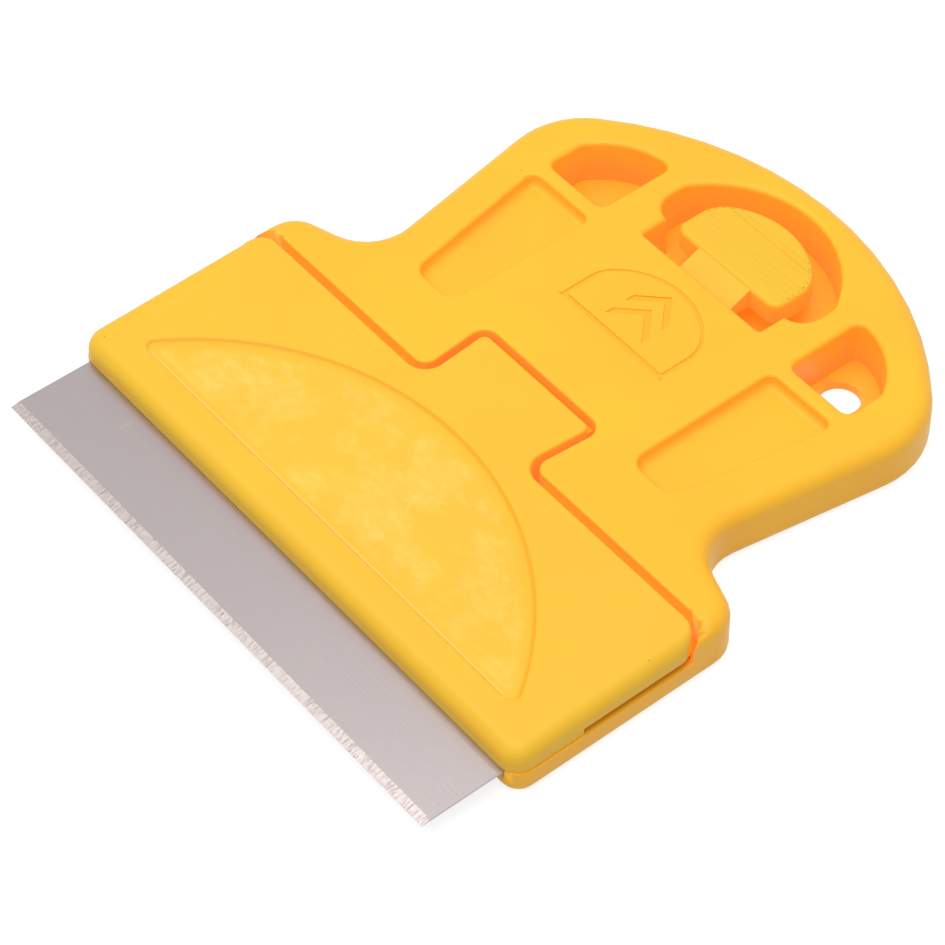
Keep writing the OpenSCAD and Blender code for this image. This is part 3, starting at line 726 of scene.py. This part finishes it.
def scoop_floor(normal, corners):
    return normal.z > UPWARD and all(
        abs(z - clamp_top(row) + SCOOP_DEPTH) < 2 * LEVEL
        and inside(x, row, SCOOP_HALF, SCOOP_FRONT, SCOOP_REAR, 2 * BESIDE) for x, row, z in corners)


def on_scoop(x, row, z):
    """The shallow thumb scoop in the clamp's sloping top, with its rim."""
    return inside(x, row, SCOOP_HALF, SCOOP_FRONT, SCOOP_REAR, RIM) and z > clamp_top(row) - SCOOP_REACH


def pad_crumb(normal, corners):
    """The tiny faces where the grip lines run out on the pad's rounded rim."""
    on_pad = all(
        z > HANDLE_TOP - PAD_RIM and PAD_FRONT - BESIDE < row < PAD_REAR + BESIDE for x, row, z in corners)
    points = [Vector(corner) for corner in corners]
    return on_pad and max((a - b).length for a in points for b in points) < CRUMB_SIZE


def lever_slope(normal, corners):
    """The neck's face that climbs from the window's front edge to the pad."""
    return normal.z > SLOPING and all(
        inside(x, row, PAD_HALF, WINDOW_FRONT - BESIDE, PAD_FRONT + 2 * BESIDE) for x, row, z in corners)


def behind_cutting_edge(x, row, z):
    return row > BLADE_BREAK_ROW


def lightly_marked(x, row, z):
    """The scoop, the pad's grip lines and the arched mark, which are too shallow to take the painted shade and
    glow of closed-in walls.
    """
    pad = inside(x, row, PAD_HALF, PAD_FRONT, PAD_REAR, BESIDE) and z > HANDLE_TOP - GRIP_REACH
    mark = inside(x, row, MARK_HALF, MARK_FRONT, MARK_REAR, BESIDE) and z > HANDLE_TOP - MARK_REACH
    return pad or mark or on_scoop(x, row, z)


def over_blade(corners):
    """The slit between the clamp and the lower jaw, which opens to the side and takes no painted shade or
    glow.
    """
    under_clamp = sum(row for x, row, z in corners) < CLAMP_REAR * len(corners)
    return under_clamp and all(z < SLIT_TOP for x, row, z in corners)


# Pieces

def level_ridges(shell):
    """Brings the ridges up to the top, so that each rim is one plain loop."""
    pick_faces(shell, ridge_skin)
    bpy.ops.transform.translate(value=(0, 0, RIDGE_SET * MM))
    join_points(shell, RAISED_JOIN)


def part_top(shell):
    """Parts the top's narrow front ends from the rest, so that no border is laid in them."""
    for side in (-1, 1):
        pick_faces(shell, whole_top)
        bpy.ops.mesh.bisect(plane_co=(side * TOP_END * MM, 0, 0), plane_no=(1, 0, 0))
        leave()


def make_handle_shell():
    shell = merged_copy("handle_body", "handle_shell")
    level_ridges(shell)
    part_top(shell)
    pick_faces(shell, top_skin)
    inset_picked(LIP_BORDER)
    leave()
    soften(shell, open_lip, LIP_R, LIP_STEPS)
    soften(shell, recess_lip, RECESS_LIP_R, LIP_STEPS)
    soften(shell, groove_lip, GROOVE_LIP_R, LIP_STEPS)
    smooth(shell)
    return dress(shell, handle_plastic, "handle", "handle_body")


def slope_scoop_wall(shell):
    """Turns the scoop's upright wall into a soft slope."""
    pick_faces(shell, scoop_floor)
    inset_picked(SCOOP_SLOPE)
    bpy.ops.mesh.select_more(use_face_step=True)
    bpy.ops.mesh.region_to_loop()
    bpy.ops.transform.translate(value=(0, 0, SCOOP_DEPTH * MM))
    edit(shell)
    bpy.ops.mesh.select_all(action="SELECT")
    bpy.ops.mesh.remove_doubles(threshold=SLOPED_JOIN * MM)
    leave()


def make_clamp_shell():
    shell = merged_copy("blade_clamp", "clamp_shell")
    pick_faces(shell, pad_crumb)
    bpy.ops.mesh.remove_doubles(threshold=CRUMB_JOIN * MM)
    leave()
    # A row of points that keeps the shade beside the window's front edge narrow
    pick_faces(shell, lever_slope)
    shade_row = (EDGE_ROW + WINDOW_FRONT + LEVER_SHADE) * MM
    bpy.ops.mesh.bisect(plane_co=(0, shade_row, 0), plane_no=(0, 1, 0))
    leave()
    slope_scoop_wall(shell)
    soften(shell, on_scoop, SCOOP_RIM_R, SCOOP_RIM_STEPS, sharpness=15)
    smooth(shell)
    return dress(shell, clamp_plastic, "clamp", "blade_clamp")


def make_cover_shell():
    shell = merged_copy("bottom_cover", "cover_shell")
    smooth(shell)
    return dress(shell, handle_plastic, "handle", "bottom_cover")


def make_blade():
    """The blade strip with fine breaks on its long edges and round its two holes."""
    strip = merged_copy("blade", "blade_strip")
    soften(strip, behind_cutting_edge, BLADE_BREAK_R, BLADE_BREAK_STEPS)
    smooth(strip, angle=20)
    dress(strip, blade_steel, "handle", "blade")


def make_spring():
    """The coil under the pad, carried by the handle as one rigid piece."""
    coil = merged_copy("button_spring", "button_coil")
    smooth(coil, angle=60)
    dress(coil, pin_steel, "handle", "button_spring")
    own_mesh(coil)


def finish_pin():
    """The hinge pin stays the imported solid, and gets the drawn steel."""
    for slot in frame["nodes"]["hinge_pin"].material_slots:
        slot.material = pin_steel


def sky_directions(count):
    """Directions spread over the half sphere above a face, thicker towards its middle."""
    turn = math.pi * (3 - math.sqrt(5))
    shares = [(step + 0.5) / count for step in range(count)]
    return [
        Vector((math.sqrt(share) * math.cos(step * turn), math.sqrt(share) * math.sin(step * turn),
                math.sqrt(1 - share)))
        for step, share in enumerate(shares)]


def store_openness(pieces, reach=14, rays=24, inset=0.15, lift=0.05, broad=120):
    """Keeps at each face corner the share of the sky over that face which stays in view, by rays that
    start inset and lift millimetres off the corner and run for reach millimetres; the plastics paint shade and
    glow from it.
    A face of more than broad square millimetres has one share all over, that of its most open corner."""
    trees = [
        BVHTree.FromPolygons([v.co for v in p.data.vertices], [f.vertices[:] for f in p.data.polygons])
        for p in pieces]
    sky = sky_directions(rays)
    for piece in pieces:
        mesh = piece.data
        layer = mesh.attributes.new("openness", "FLOAT", "CORNER")
        for face in mesh.polygons:
            turned = face.normal.to_track_quat("Z", "Y")
            rays_here = [turned @ way for way in sky]
            corners = [mesh.vertices[index].co for index in face.vertices]
            for number, loop in enumerate(face.loop_indices):
                chord = corners[(number + 1) % len(corners)] - corners[number - 1]
                inward = face.normal.cross(chord).normalized()
                start = corners[number] + inward * inset * MM + face.normal * lift * MM
                seen = sum(
                    all(tree.ray_cast(start, way, reach * MM)[0] is None for tree in trees)
                    for way in rays_here)
                layer.data[loop].value = seen / rays
            places = [place_of(corner) for corner in corners]
            in_slit = over_blade(places)
            for loop, here in zip(face.loop_indices, places):
                if in_slit or lightly_marked(*here):
                    layer.data[loop].value = 1
            if face.area > broad * MM ** 2:
                best = max(layer.data[loop].value for loop in face.loop_indices)
                for loop in face.loop_indices:
                    layer.data[loop].value = best


add_camera()
add_world()
add_lamp("key_lamp", LAMP_PLACE, LAMP_SIZE, LAMP_POWER)
add_floor()

moulded_skin = moulded_skin_group()
scuff_marks = scuff_group()
speck_marks = speck_group()

handle_plastic = moulded_plastic("yellow_handle", HANDLE_LIT, HANDLE_PAINTED_SHADE, peel=0.25, waves=0.6)
clamp_plastic = moulded_plastic(
    "yellow_clamp", CLAMP_LIT, CLAMP_PAINTED_SHADE, peel=0.25, waves=0.8, ripples_and_painted_light=scoop_ripples_and_painted_light_group())
blade_steel = ground_steel("blade_steel")
pin_steel = drawn_steel("pin_steel")

store_openness([make_handle_shell(), make_clamp_shell(), make_cover_shell()])
make_blade()
make_spring()
finish_pin()
